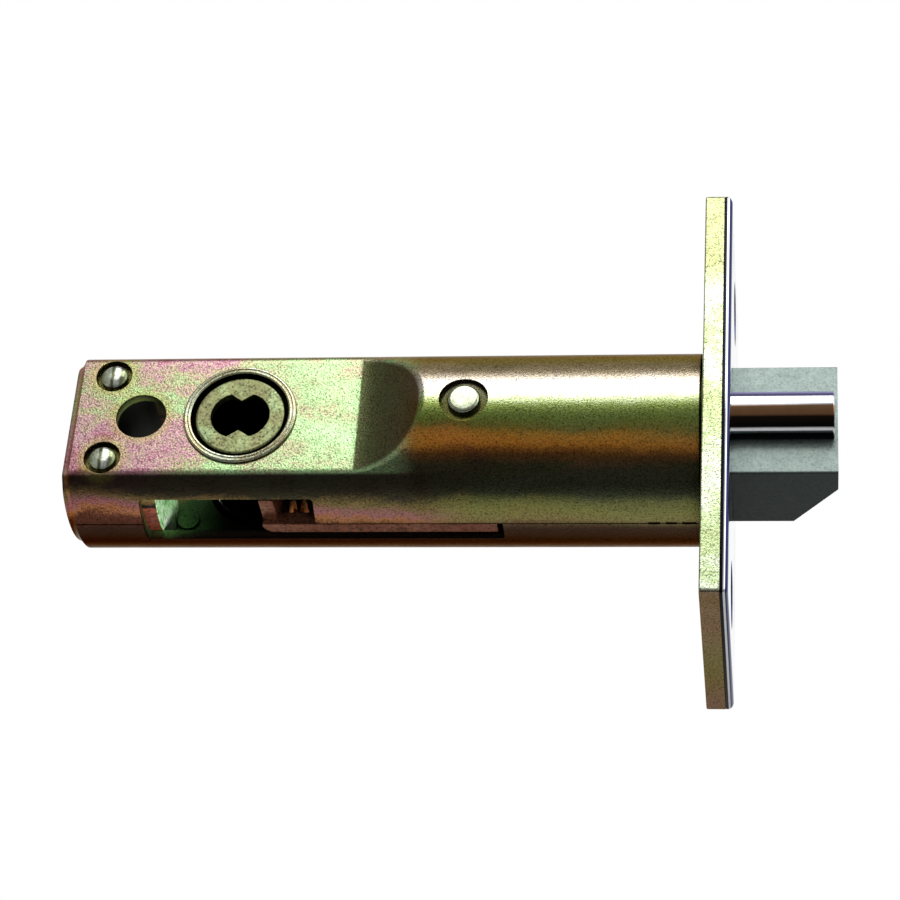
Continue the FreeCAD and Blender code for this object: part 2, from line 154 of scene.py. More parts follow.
def roundedLoop(corners, steps=5):
    # closed 2-D outline from (a, b, radius) corners: each corner becomes an arc tangent to its two sides
    out = []
    count = len(corners)
    for k in range(count):
        here = np.array(corners[k][:2], float)
        before = np.array(corners[k - 1][:2], float) - here
        after = np.array(corners[(k + 1) % count][:2], float) - here
        radius = corners[k][2]
        if radius <= 0:
            out.append(here[None])
            continue
        before /= np.linalg.norm(before)
        after /= np.linalg.norm(after)
        half = math.acos(np.clip(before @ after, -1, 1)) / 2
        middle = before + after
        centre = here + middle / np.linalg.norm(middle) * radius / math.sin(half)
        start = here + before * radius / math.tan(half) - centre
        end = here + after * radius / math.tan(half) - centre
        turn = math.atan2(start[0] * end[1] - start[1] * end[0], start @ end)
        t = np.linspace(0, turn, steps + 1)[:, None]
        side = np.array([-start[1], start[0]])
        out.append(centre + np.cos(t) * start + np.sin(t) * side)
    return np.concatenate(out)


def prismPiece(name, outline, axis, low, high):
    # straight prism of an (x, z) outline carried along Y, or of an (x, y) outline carried along Z
    count = len(outline)
    ends = []
    for level in (low, high):
        columns = [outline[:, 0], outline[:, 1]]
        columns.insert(1 if axis == "y" else 2, np.full(count, level))
        ends.append(np.stack(columns, -1))
    ring = np.arange(count)
    after = np.roll(ring, -1)
    sides = np.stack([ring, after, after + count, ring + count], -1)
    faces = [ring[::-1].tolist(), (ring + count).tolist(), *sides.tolist()]
    mesh = bpy.data.meshes.new(name)
    mesh.from_pydata((np.concatenate(ends) * mm).tolist(), [], faces)
    build = bmesh.new()
    build.from_mesh(mesh)
    bmesh.ops.recalc_face_normals(build, faces=build.faces)
    build.to_mesh(mesh)
    build.free()
    return linkPiece(name, mesh)


def cutAway(piece, cutters):   # cuts other pieces out of a piece and removes them
    for cutter in cutters:
        change = piece.modifiers.new("cut", "BOOLEAN")
        change.operation = "DIFFERENCE"
        change.solver = "EXACT"
        change.object = cutter
    bpy.context.view_layer.update()
    depsgraph = bpy.context.evaluated_depsgraph_get()
    mesh = bpy.data.meshes.new_from_object(piece.evaluated_get(depsgraph))
    piece.modifiers.clear()
    piece.data = mesh
    for cutter in cutters:
        bpy.data.objects.remove(cutter)


def smoothByAngle(piece, degrees):   # smooth, with sharp edges where faces meet at more than an angle
    build = bmesh.new()
    build.from_mesh(piece.data)
    limit = math.radians(degrees)
    for face in build.faces:
        face.smooth = True
    for edge in build.edges:
        edge.smooth = len(edge.link_faces) == 2 and edge.calc_face_angle(math.pi) < limit
    build.to_mesh(piece.data)
    build.free()


def turnedPiece(name, profile, x, z, side, steps):
    # an (r, y) profile turned about the Y line through (x, z); side -1 puts it on the near side
    turn = np.linspace(0, 2 * math.pi, steps, endpoint=False)
    r = profile[:, 0][:, None]
    y = np.broadcast_to(side * profile[:, 1][:, None], (len(profile), steps))
    points = np.stack([x + r * np.cos(turn), y, z + r * np.sin(turn)], -1)
    piece = makePiece(name, *gridMesh(points))
    smoothByAngle(piece, 40)
    return piece


print("stage: materials")

edgeRadius = 0.12   # how far a bevelled normal softens every edge of a metal
cornerShadeReach = 1.2    # how far the painted shade of a corner reaches


def banded(tree, place, value, colour, band):
    # Tints a colour in bands along a line of the part; their borders wander with the slow noise. The tint's
    # share follows a point attribute, or runs along a second line, or is even; it can fade along other lines.
    low, high = band["middle"] - band["reach"], band["middle"] + band["reach"]
    wander = band["wander"] * mm / 2
    at = addNode(tree, "VectorMath", "Value", [place, band["line"]], operation="DOT_PRODUCT")
    wander = addNode(tree, "MapRange", "Result", [value, 0.0, 1.0, -wander, wander])
    at = addNode(tree, "Math", "Value", [at, wander])
    at = addNode(tree, "MapRange", "Result", [at, low * mm, high * mm])
    tint = addNode(tree, "ValToRGB", "Color", [at], band["stops"])
    share = band["share"]
    if "mark" in band:
        mark = addNode(tree, "Attribute", "Fac", attribute_name=band["mark"])
        share = addNode(tree, "MapRange", "Result", [mark, 0.0, 1.0, 0.0, share])
    elif "shareLine" in band:
        start, end = band["shareRange"]
        along = addNode(tree, "VectorMath", "Value", [place, band["shareLine"]], operation="DOT_PRODUCT")
        share = addNode(tree, "MapRange", "Result", [along, start * mm, end * mm, 0.0, share],
                        interpolation_type="SMOOTHSTEP")
    for line, start, end in band.get("fades", ()):
        along = addNode(tree, "VectorMath", "Value", [place, line], operation="DOT_PRODUCT")
        kept = addNode(tree, "MapRange", "Result", [along, start * mm, end * mm, 1.0, 0.0],
                       interpolation_type="SMOOTHSTEP")
        share = addNode(tree, "Math", "Value", [share, kept], operation="MULTIPLY")
    return addNode(tree, "Mix", 2, {0: share, 6: colour, 7: tint}, data_type="RGBA")


def metal(name, stops, user):
    # Metal whose colour comes from a ramp over slow noise, with finer layers, patches, bands, round spots,
    # specks and painted shade in its corners; several bands and spots paint shade and reflections. The bump
    # is the surface's grain. A noise's scale is 1000 over its size.
    material = newMaterial(name)
    tree = material.node_tree
    place = objectPlace(tree)
    value = addNode(tree, "TexNoise", "Fac", {
        "Vector": objectPlace(tree, user.get("stretch", (1, 1, 1))), "Scale": 1000 / user["cloudSize"],
        "Detail": 4.0, "Roughness": 0.6, "Distortion": user.get("distortion", 0.4)})
    if "drift" in user:
        drift = addNode(tree, "VectorMath", "Value", [place, user["drift"]], operation="DOT_PRODUCT")
        value = addNode(tree, "Math", "Value", [value, drift])
        value = addNode(tree, "Math", "Value", [value, user["shift"]])
    for size, share in user.get("layers", ()):
        fine = addNode(tree, "TexNoise", "Fac", {
            "Vector": place, "Scale": 1000 / size, "Detail": 3.0, "Roughness": 0.6})
        fine = addNode(tree, "MapRange", "Result", [fine, 0.0, 1.0, -share / 2, share / 2])
        value = addNode(tree, "Math", "Value", [value, fine])
    for middle, radius, amount in user.get("patches", ()):
        away = addNode(tree, "VectorMath", "Value", [place, [c * mm for c in middle]], operation="DISTANCE")
        patch = addNode(tree, "MapRange", "Result", [away, 0.0, radius * mm, amount, 0.0],
                        interpolation_type="SMOOTHSTEP")
        value = addNode(tree, "Math", "Value", [value, patch])
    colour = addNode(tree, "ValToRGB", "Color", [value], stops)
    for band in user.get("bands", ()):
        colour = banded(tree, place, value, colour, band)
    for spot in user.get("spots", ()):
        away = addNode(tree, "VectorMath", "Vector", [place, [c * mm for c in spot["middle"]]],
                       operation="SUBTRACT")
        away = addNode(tree, "VectorMath", "Vector", [away, spot["axes"]], operation="MULTIPLY")
        away = addNode(tree, "VectorMath", "Value", [away], operation="LENGTH")
        share = addNode(tree, "MapRange", "Result", [
            away, spot["full"] * mm, spot["none"] * mm, spot["share"], 0.0], interpolation_type="SMOOTHSTEP")
        colour = addNode(tree, "Mix", 2, {0: share, 6: colour, 7: srgbHex(spot["colour"])}, data_type="RGBA")
    specks = addNode(tree, "TexNoise", "Fac", {
        "Vector": place, "Scale": 1000 / user["speckSize"], "Detail": 2.0, "Roughness": 0.6})
    specks = addNode(tree, "ValToRGB", "Color", [specks], user["specks"])
    colour = addNode(tree, "Mix", 2, {0: user.get("speckShare", 1.0), 6: colour, 7: specks},
                     data_type="RGBA", blend_type="MULTIPLY")
    # painted shade: the colour is darkened where ambient occlusion finds surfaces close by
    if "cornerShade" in user:
        openness = addNode(tree, "AmbientOcclusion", "AO", {"Distance": cornerShadeReach * mm}, samples=4)
        cornerShade = addNode(tree, "ValToRGB", "Color", [openness], user["cornerShade"])
        colour = addNode(tree, "Mix", 2, {0: 1.0, 6: colour, 7: cornerShade},
                         data_type="RGBA", blend_type="MULTIPLY")
    worn = addNode(tree, "TexNoise", "Fac", {   # 2.3 times as fine as the clouds
        "Vector": place, "Scale": 2300 / user["cloudSize"], "Detail": 3.0})
    roughness = addNode(tree, "MapRange", "Result", [worn, 0.3, 0.7, user["roughLow"], user["roughHigh"]])
    metallic = user.get("metallic", 1.0)
    if "dull" in user:
        dull = user["dull"]
        mark = addNode(tree, "Attribute", "Fac", attribute_name=dull["mark"])
        roughness = addNode(tree, "MapRange", "Result", [mark, 0.0, 1.0, roughness, dull["roughness"]])
        metallic = addNode(tree, "MapRange", "Result", [mark, 0.0, 1.0, metallic, dull["metallic"]])
    grain = addNode(tree, "TexNoise", "Fac", {
        "Vector": place, "Scale": 1000 / user["grainSize"], "Detail": 3.0, "Roughness": 0.6})
    soft = addNode(tree, "Bevel", "Normal", {"Radius": edgeRadius * mm}, samples=4)
    bump = addNode(tree, "Bump", "Normal", {
        "Height": grain, "Strength": user["bump"], "Distance": user["grainDepth"] * mm, "Normal": soft})
    return giveSurface(material, {
        "Base Color": colour, "Metallic": metallic, "Roughness": roughness, "Normal": bump,
        "Specular Tint": srgbHex(user.get("edgeTint", "#ffffff"))})


plainSpecks = [(0.35, "#e6e6e6"), (0.6, "#ffffff")]
roughSpecks = [(0.30, "#6a6a6a"), (0.42, "#cfcfcf"), (0.58, "#ffffff")]
lineSlant = (0.0, -0.545, 0.839)   # up and towards the flat's side, the way the passivate ran off

hubHoleShade = {"middle": (places["hubX"], 0, 0), "axes": (1, 1, 1), "full": 8.1, "none": 8.4, "share": 1.0,
           "colour": "#060504"}   # painted shade: the spindle way through the hub is painted nearly black

# Yellow chromate over zinc: pink, gold, olive and pale green patches with a speckled satin grain. The real
# grain is finer than these specks of 0.2 mm, which are as coarse as they need to be to show.
# painted shade: a ramp over ambient occlusion that darkens corners and recesses
zincCornerShade = [(0.3, "#33291a"), (0.75, "#ffffff")]
zincStops = [
    (0.22, "#9c6458"), (0.32, "#b97f8e"), (0.40, "#caa2a8"), (0.46, "#c0b08c"),
    (0.53, "#b0b98e"), (0.62, "#b4dc9a"), (0.80, "#cdeabd")]
zincUser = {
    "cloudSize": 8.333, "stretch": (0.5, 1, 1), "distortion": 0.5, "layers": ((2.381, 0.3), (0.2632, 0.5)),
    "speckSize": 0.2083, "specks": roughSpecks, "speckShare": 0.9, "grainSize": 0.2083, "grainDepth": 0.042,
    "bump": 0.6, "roughLow": 0.17, "roughHigh": 0.24, "cornerShade": zincCornerShade, "edgeTint": "#b5a08c"}
# Inside, the passivate is dull green at the rear; further in it is painted nearly black, as painted shade
# deep in the tube.
wallShadeStops = [
    (0.0, "#8cc27a"), (0.3, "#74a062"), (0.42, "#4c7242"), (0.56, "#2a4228"), (0.72, "#131b12"),
    (1.0, "#0e120d")]
wallShadeBand = {"line": lineX, "middle": -64.0, "reach": 8.0, "wander": 2.5, "share": 1.0, "stops": wallShadeStops}
insideShadeBand = {**wallShadeBand, "mark": "inside"}
# Bands along the round of the tube: the passivate's own hues, pale green, gold, brown and olive, with a
# painted highlight near white at the top and a painted dark reflection in the band below the gold. The
# pressed run-out is painted dark olive and the underside beyond the seam red brown, darker towards the
# bottom, as painted shade.
tubeHueAndReflectionBand = {
    "line": lineSlant, "middle": 0.0, "reach": 12.0, "wander": 3.0, "share": 0.9,
    "shareLine": lineX, "shareRange": (-38.0, -34.0), "stops": [
        (0.05, "#5c4436"), (0.13, "#84604a"), (0.17, "#a8945c"), (0.22, "#9a9450"), (0.265, "#807c44"),
        (0.305, "#3a3026"), (0.36, "#3c3228"), (0.45, "#523c2a"), (0.495, "#9a541c"), (0.54, "#f89a2c"),
        (0.59, "#dc942c"), (0.635, "#8c7c2a"), (0.69, "#7c8c34"), (0.75, "#8ea04a"), (0.80, "#d8e0b8"),
        (0.86, "#eee2dc"), (0.93, "#cdb394"), (0.98, "#94845c")]}
rearBand = {
    **tubeHueAndReflectionBand, "shareLine": lineSlant, "shareRange": (-2.3, -2.9), "share": 0.94, "wander": 5.0,
    "fades": ((lineY, 3.0, 7.0), (lineX, -37.0, -27.0)), "stops": [
        (0.05, "#55301f"), (0.14, "#7a4a38"), (0.17, "#d08a58"), (0.21, "#c47f88"), (0.255, "#9a8250"),
        (0.295, "#4c3e34"), (0.40, "#4a3c34")]}
# painted shade: the hollow run-out is painted dark olive
runOutShadeBand = {
    "line": lineX, "middle": -38.0, "reach": 5.0, "wander": 4.0, "share": 0.93, "mark": "pressed",
    "stops": [(0.1, "#666a42"), (0.5, "#585236"), (0.9, "#5e4430")]}
# painted shade: the walls and floors of the recesses and cuts are painted dark olive
recessShadeBand = {
    "line": lineX, "middle": -50.0, "reach": 30.0, "wander": 9.0, "share": 0.9, "mark": "sunk",
    "stops": [(0.0, "#3c3a20"), (1.0, "#4a4424")]}
# painted shade: the strip along the tube's bottom is painted dark brown, darker towards the bottom
undersideShadeBand = {
    "line": lineSlant, "middle": -9.0, "reach": 3.0, "wander": 3.0, "share": 0.92,
    "shareLine": lineSlant, "shareRange": (-8.2, -9.6), "fades": ((lineY, 5.0, 9.0),),
    "stops": [(0.2, "#4c3a34"), (0.8, "#54423a")]}
holeSpots = [   # a gold stain round the lock screw's hole and the two rear pins
    {"middle": (x, 0, z), "axes": (1, 0, 1), "full": r, "none": r + 1.3, "share": 0.45, "colour": "#b9b45c"}
    for x, z, r in ((places["screwX"], 0, 3.3), (places["pinX"], places["pinZ"], 2.4),
                    (places["pinX"], -places["pinZ"], 2.4))]
yellowZinc = metal("yellow_zinc_passivate", zincStops, {
    **zincUser, "drift": (4.5, 0.0, 0.0), "shift": 0.25, "spots": holeSpots,
    "patches": [((-45, -8.4, 0), 14, 0.13), ((-57, -8.8, 0), 7.5, 0.06), ((-72, -6, -11), 9, -0.06)],
    "bands": [tubeHueAndReflectionBand, rearBand, undersideShadeBand, runOutShadeBand, recessShadeBand, insideShadeBand],
    "dull": {"mark": "inside", "roughness": 0.5, "metallic": 0.85}})

# The beaded collars were burnished: paler and shinier than the tube.
collarStops = [(0.3, "#cdb9a4"), (0.45, "#d6d0a2"), (0.6, "#e0ead0"), (0.75, "#f0f4e6")]
collarZinc = metal("burnished_zinc_collar", collarStops, {
    **zincUser, "roughLow": 0.07, "roughHigh": 0.1, "grainDepth": 0.012,
    # painted shade: the collar's inner part, round the hub, is painted dark
    "spots": [{**hubHoleShade, "full": 10.3, "none": 10.5}]})

# The same passivate on the thicker backing plate: thinner and paler, and brown on its lower edge.
plateStops = [(0.25, "#a6a878"), (0.38, "#b0ba86"), (0.5, "#bdd19a"), (0.60, "#d6e3c0"), (0.8, "#e9efdf")]
lowEdgeBand = {
    "line": lineY, "middle": 0.0, "reach": 15.0, "wander": 9.0, "share": 0.9, "shareLine": lineZ,
    "shareRange": (-28.2, -28.5),
    "stops": [(0.0, "#a08060"), (0.3, "#ac8a74"), (0.6, "#9c905e"), (0.9, "#a67f6c")]}
plateZinc = metal("yellow_zinc_plate", plateStops, {
    **zincUser, "drift": (0.0, -3.0, -3.5), "shift": -0.02, "bands": [lowEdgeBand]})

# On the rear cap it lies evenly, without the bands.
capZinc = metal("yellow_zinc_cap", zincStops, zincUser)

# Passivate on the inner wall: dull green, painted darker further in as painted shade.
wallZinc = metal("green_zinc_wall", zincStops, {
    **zincUser, "bands": [wallShadeBand], "metallic": 0.85, "roughLow": 0.45, "roughHigh": 0.55})

# Plain zinc on inner steel, gone red brown by the chromate.
brownStops = [(0.3, "#74402e"), (0.5, "#8a5640"), (0.7, "#a0705a")]
brownUser = {
    "cloudSize": 6.25, "speckSize": 0.3846, "specks": roughSpecks, "grainSize": 0.25, "grainDepth": 0.012,
    "bump": 0.4, "roughLow": 0.3, "roughHigh": 0.45, "metallic": 0.94}
brownZinc = metal("brown_zinc_steel", brownStops, brownUser)

# End block: red brown with an olive side and a black line between, and pale green speckled zinc in front,
# painted near white where the window's light falls on it: painted light.
screwHoleShade = {**hubHoleShade, "middle": (places["screwX"], 0, 0), "axes": (1, 0, 1), "full": 3.3, "none": 3.45,
             "colour": "#0a0d08"}   # painted shade: the lock screw's hole is painted dark inside
blockSide = {
    "line": lineY, "middle": -3.4, "reach": 2.0, "wander": 0.6, "share": 1.0, "stops": [
        (0.2, "#7d6a3c"), (0.42, "#5a4426"), (0.48, "#120e0a"), (0.53, "#120e0a"), (0.6, "#8e4a34"),
        (0.9, "#6d3526")]}
# painted light: the front face is pale green, painted near white where light falls in through the window
blockFrontTintAndLight = {
    "line": lineX, "middle": -67.2, "reach": 1.0, "wander": 3.4, "share": 1.0, "shareLine": lineX,
    "shareRange": (-67.4, -67.25), "stops": [(0.2, "#88cc7c"), (0.45, "#ccffbc"), (0.65, "#f6fff0")]}
blockZinc = metal("end_block_zinc", brownStops, {
    **brownUser, "metallic": 0.4, "spots": [screwHoleShade], "layers": ((0.6667, 0.5),),
    "bands": [blockSide, blockFrontTintAndLight]})

# Bright chrome: near mirror, barely uneven.
chromeStops = [(0.3, "#d2d6e0"), (0.7, "#e2e5ee")]
chromeUser = {
    "cloudSize": 16.67, "speckSize": 1.111, "specks": plainSpecks, "speckShare": 0.4, "grainSize": 1.111,
    "grainDepth": 0.002, "bump": 0.03, "roughLow": 0.04, "roughHigh": 0.08}
chrome = metal("bright_chrome_plate", chromeStops, chromeUser)

# Chrome on the plunger, with painted reflections in bands along its length: violet and a white highlight
# above, brown, black, a thin bright line and black below.
barReflectionBand = {
    "line": lineZ, "middle": 0.0, "reach": 3.0, "wander": 0.12, "share": 1.0, "stops": [
        (0.02, "#1b1a22"), (0.035, "#eceef6"), (0.055, "#eceef6"), (0.075, "#1d1b1b"), (0.22, "#3b3129"),
        (0.27, "#8c6446"), (0.44, "#9a7656"), (0.48, "#e0e3ee"), (0.68, "#e6e8f4"), (0.71, "#7f78b0"),
        (0.9, "#8e88bc")]}
chromeBar = metal("chrome_bar_painted_reflections", chromeStops, {**chromeUser, "bands": [barReflectionBand]})

# Painted reflections on the chrome over the sheet's rolled edge: a dark line, a bright line, a blue line,
# then the plain front.
sheetEdgeReflectionBand = {
    "line": lineX, "middle": 2.85, "reach": 0.5, "wander": 0.0, "share": 1.0, "stops": [
        (0.02, "#17161c"), (0.36, "#1e1c24"), (0.41, "#eef0f8"), (0.62, "#f4f5fb"), (0.66, "#1d2450"),
        (0.975, "#2a3468"), (0.985, "#dcdfe8")]}
chromeSheet = metal("chrome_sheet_edge_reflections", chromeStops, {**chromeUser, "bands": [sheetEdgeReflectionBand]})

# Peened heads of pins and rivets: zinc with a trace of the yellow passivate.
headStops = [(0.3, "#a3ad8a"), (0.5, "#b9c2a2"), (0.7, "#c8cfb6")]
headUser = {
    "cloudSize": 2.0, "speckSize": 0.3333, "specks": roughSpecks, "speckShare": 0.6, "grainSize": 0.25,
    "grainDepth": 0.008, "bump": 0.4, "roughLow": 0.14, "roughHigh": 0.24}
brightSteel = metal("bright_peened_steel", headStops, headUser)

# The rear pins' ends carry painted reflections: dark streaks between pale highlights.
pinReflectionBand = {
    "line": lineX, "middle": places["pinX"], "reach": 1.65, "wander": 0.5, "share": 0.9, "stops": [
        (0.0, "#7c8660"), (0.20, "#dce6c4"), (0.34, "#eef4e0"), (0.42, "#6b7254"), (0.48, "#767c5c"),
        (0.54, "#f6faea"), (0.66, "#ffffff"), (0.76, "#848c66"), (0.84, "#a8b288"), (1.0, "#6a7250")]}
pinSteel = metal("pin_end_painted_reflections", headStops, {**headUser, "bands": [pinReflectionBand]})

# Sintered grey iron of the bolt: matt grey green with fine pores, drawn coarser than real so that they show;
# the bolt's underside is painted darker, as painted shade.
ironStops = [(0.3, "#8d9b96"), (0.5, "#93a19c"), (0.7, "#9ba8a2")]
boltUndersideShade = {
    "line": lineX, "middle": 8.0, "reach": 9.0, "wander": 2.0, "share": 0.88, "shareLine": lineZ,
    "shareRange": (-7.55, -7.72), "stops": [(0.0, "#272a2b"), (1.0, "#303435")]}
sintered = metal("sintered_grey_iron", ironStops, {
    "cloudSize": 1.429, "speckSize": 0.2778, "specks": roughSpecks, "speckShare": 0.4, "grainSize": 0.2381,
    "grainDepth": 0.014, "bump": 0.5, "roughLow": 0.40, "roughHigh": 0.46, "bands": [boltUndersideShade]})

# Sintered hub under a thin passivate: darker, olive, coarser pores, with painted shade in its corners and its
# spindle way painted nearly black as painted shade.
hubStops = [(0.3, "#868060"), (0.5, "#9ca070"), (0.7, "#aec290")]
hubIron = metal("sintered_olive_hub", hubStops, {
    "cornerShade": zincCornerShade, "spots": [hubHoleShade], "edgeTint": "#26261e", "cloudSize": 3.846,
    "layers": ((0.3846, 0.5),), "speckSize": 0.2778, "specks": roughSpecks, "grainSize": 0.2778,
    "grainDepth": 0.03, "bump": 0.6, "roughLow": 0.30, "roughHigh": 0.42})

# Copper coloured wire of the return spring: warm and satin.
wireUser = {
    "cloudSize": 2.5, "speckSize": 0.3333, "specks": plainSpecks, "grainSize": 0.2, "grainDepth": 0.005,
    "bump": 0.2, "roughLow": 0.25, "roughHigh": 0.35}
copper = metal("copper_coloured_wire", [(0.3, "#d9783a"), (0.7, "#f09a58")], {**wireUser, "metallic": 0.25})

# Oiled spring steel: plain grey wire.
springSteel = metal("spring_steel_wire", [(0.3, "#8d8c88"), (0.7, "#a5a49e")], wireUser)


def plasticMaterial():
    # black moulded plastic: dark, softly shiny, with a fine moulded grain
    material = newMaterial("black_moulded_plastic")
    tree = material.node_tree
    place = objectPlace(tree)
    grain = addNode(tree, "TexNoise", "Fac", {"Vector": place, "Scale": 1000 / 0.2, "Detail": 3.0})
    clouds = addNode(tree, "TexNoise", "Fac", {"Vector": place, "Scale": 1000 / 6.667, "Detail": 3.0})
    tint = addNode(tree, "ValToRGB", "Color", [clouds], [(0.3, "#17181a"), (0.7, "#232427")])
    bump = addNode(tree, "Bump", "Normal", {"Height": grain, "Strength": 0.3, "Distance": 0.01 * mm})
    return giveSurface(material, {"Base Color": tint, "Roughness": 0.5, "Normal": bump})


blackPlastic = plasticMaterial()

# the CAD pieces that show as they are
cadFinish = {
    "end_cap": capZinc, "end_block": blockZinc, "flat_stud": wallZinc, "backing_plate": plateZinc,
    "front_guide": blackPlastic, "hub": hubIron, "guide_block_near": brownZinc, "guide_block_far": brownZinc,
    "spring_lug": brownZinc, "latch_bolt": sintered, "retractor": brownZinc, "bolt_pin": brightSteel}
for nodeName, finish in cadFinish.items():
    nodes[nodeName].data.materials.clear()
    nodes[nodeName].data.materials.append(finish)


def install(piece, body, slotName, finish, *replaced):
    # gives a finished piece its material and its body, and hides the nodes it stands for; slotName is not
    # used
    piece.data.materials.clear()
    piece.data.materials.append(finish)
    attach(piece, body)
    if replaced:
        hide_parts(*replaced)


print("stage: tube")

tube = {
    "radius": 11.9, "wall": 1.3, "flatHeight": 8.4, "flatEnd": -42.35, "runOutRadius": 14.7, "crease": 5.0,
    "arcShare": 0.6, "blend": 0.4, "rear": -78.75, "neck": -0.35, "spigotEnd": 2.35, "spigotStep": 0.6,
    "capThickness": 1.6, "rimLength": 1.2, "rimDepth": 1.5, "roundRim": 0.9, "edge": 0.12, "around": 320,
    "flatStep": 2.0, "runOutStep": 0.2, "roundStep": 2.5, "innerStep": 3.0}   # between stations along X
opening = {   # the L-shaped window and slot, the seam and its dashes near the plate
    "windowRear": -69.055, "windowFront": -47.4, "windowNear": -5.6, "windowFar": 1.4, "slotNear": -2.0,
    "slotFront": -24.4, "corner": 0.45, "depth": 3.6, "seamNear": -1.95, "seamFar": -1.81, "seamDepth": 7.2,
    "dashNear": -2.1, "dashFar": -1.72, "dashDepth": 10.9,
    "dashes": ((-6.7, -5.3), (-4.6, -3.3), (-2.6, -0.9))}
holes = {   # radii of the cross holes and their recesses, and how far from the axis a recess begins
    "hub": 6.5, "screw": 3.17, "pin": 1.65, "pinRecess": 2.3, "pinRecessFrom": 7.6,
    "rivet": 1.2, "rivetRecess": 3.0, "rivetRecessFrom": 11.0}
outside = 15.0   # beyond the tube on every side


def tubeRadius(x, turn, offset):
    # Distance from the axis: the lesser of the round and the flat or its hollow run-out, joined softly. The
    # run-out is an arc that leaves the flat at flatEnd with a slight crease. All of them move in by offset.
    roundPart = tube["radius"] - offset
    big = tube["runOutRadius"]
    along = np.clip(x - tube["flatEnd"], 0, big * tube["arcShare"])
    lean = math.radians(tube["crease"])
    rise = big * math.cos(lean) - np.sqrt(big ** 2 - (along + big * math.sin(lean)) ** 2)
    height = tube["flatHeight"] + rise - offset
    flatPart = height / np.maximum(np.abs(np.cos(turn)), 1e-3)
    overlap = np.maximum(tube["blend"] - np.abs(roundPart - flatPart), 0)
    return np.minimum(roundPart, flatPart) - overlap ** 2 / (4 * tube["blend"])


def tubePiece():
    # skin of the tube: a closed loop of (x, offset) stations carried round the axis, so its wall is whole
    rear, neck, step = tube["rear"], tube["neck"], tube["spigotStep"]
    wall, rim, edge = tube["wall"], tube["rimDepth"], tube["edge"]
    flatEnd, capEnd = tube["flatEnd"], rear + tube["capThickness"]
    lip = wall + rim
    bend = np.linspace(0, math.pi / 2, 7)
    rows = [(capEnd, lip), (rear + 0.15, lip)]
    rows += [(rear + edge * (1 - math.sin(t)), lip - edge * (1 - math.cos(t))) for t in bend]
    rows += [(rear, rim + 0.3)]   # the flat ring of the rear face
    # the drawn-in rim: a bevel whose slope eases in
    rows += [(rear + tube["rimLength"] * s, rim * (1 - s ** 1.6)) for s in np.linspace(0, 1, 14)]
    # the outside: flats, run-outs with close stations, round part
    rows += [(x, 0.0) for x in np.arange(rear + tube["rimLength"] + 0.5, flatEnd - 0.5, tube["flatStep"])]
    rows += [(x, 0.0) for x in np.arange(flatEnd, flatEnd + 9.5, tube["runOutStep"])]
    rows += [(x, 0.0) for x in np.arange(flatEnd + 10, neck - 0.3, tube["roundStep"])]
    rows += [(neck - edge * (1 - math.sin(t)), edge * (1 - math.cos(t))) for t in bend]
    rows += [(neck, step), (tube["spigotEnd"], step), (tube["spigotEnd"], wall)]
    # and back along the inner wall
    rows += [(x, wall) for x in np.arange(neck - 2, flatEnd + 10, -tube["innerStep"])]
    rows += [(x, wall) for x in np.arange(flatEnd + 9.4, flatEnd, -2 * tube["runOutStep"])]
    rows += [(x, wall) for x in np.arange(flatEnd - 0.4, capEnd + 0.3, -tube["innerStep"])]
    rows += [(capEnd, wall)]
    x, offset = np.array(rows).T[:, :, None]
    turn = np.linspace(0, 2 * math.pi, tube["around"], endpoint=False)[None, :]
    # the rim is drawn in on the flats, and less on the round between them
    flatShare = np.clip((0.86 - np.abs(np.sin(turn))) / 0.16, 0, 1)
    share = tube["roundRim"] / rim + (1 - tube["roundRim"] / rim) * flatShare
    offset = np.where((offset > 0) & (offset < rim) & (x < rear + 3), offset * share, offset)
    r = tubeRadius(x, turn, offset)
    points = np.stack([np.broadcast_to(x, r.shape), r * np.cos(turn), r * np.sin(turn)], -1)
    return makePiece("tube_skin", *gridMesh(points, closedRows=True))


def windowOutline():   # the L-shaped window and slot, seen along Z
    o = opening
    return roundedLoop([
        (o["windowRear"], o["windowNear"], o["corner"]), (o["windowFront"], o["windowNear"], o["corner"]),
        (o["windowFront"], o["slotNear"], o["corner"]), (o["slotFront"], o["slotNear"], o["corner"]),
        (o["slotFront"], o["windowFar"], o["corner"]), (o["windowRear"], o["windowFar"], o["corner"])])


def slitCutter(name, x0, x1, y0, y1, depth):   # a thin slit along the underside
    return prismPiece(name, np.array([(x0, y0), (x1, y0), (x1, y1), (x0, y1)]), "z", -outside, -depth)


def crossCutters(name, x, z, radius, steps=64, start=None):
    # a round cutter across the tube, or two on its near and far side that begin at a distance from the axis
    spans = [(-outside, outside)] if start is None else [(-outside, -start), (start, outside)]
    return [prismPiece(name, circleOutline(x, z, radius, steps), "y", low, high) for low, high in spans]


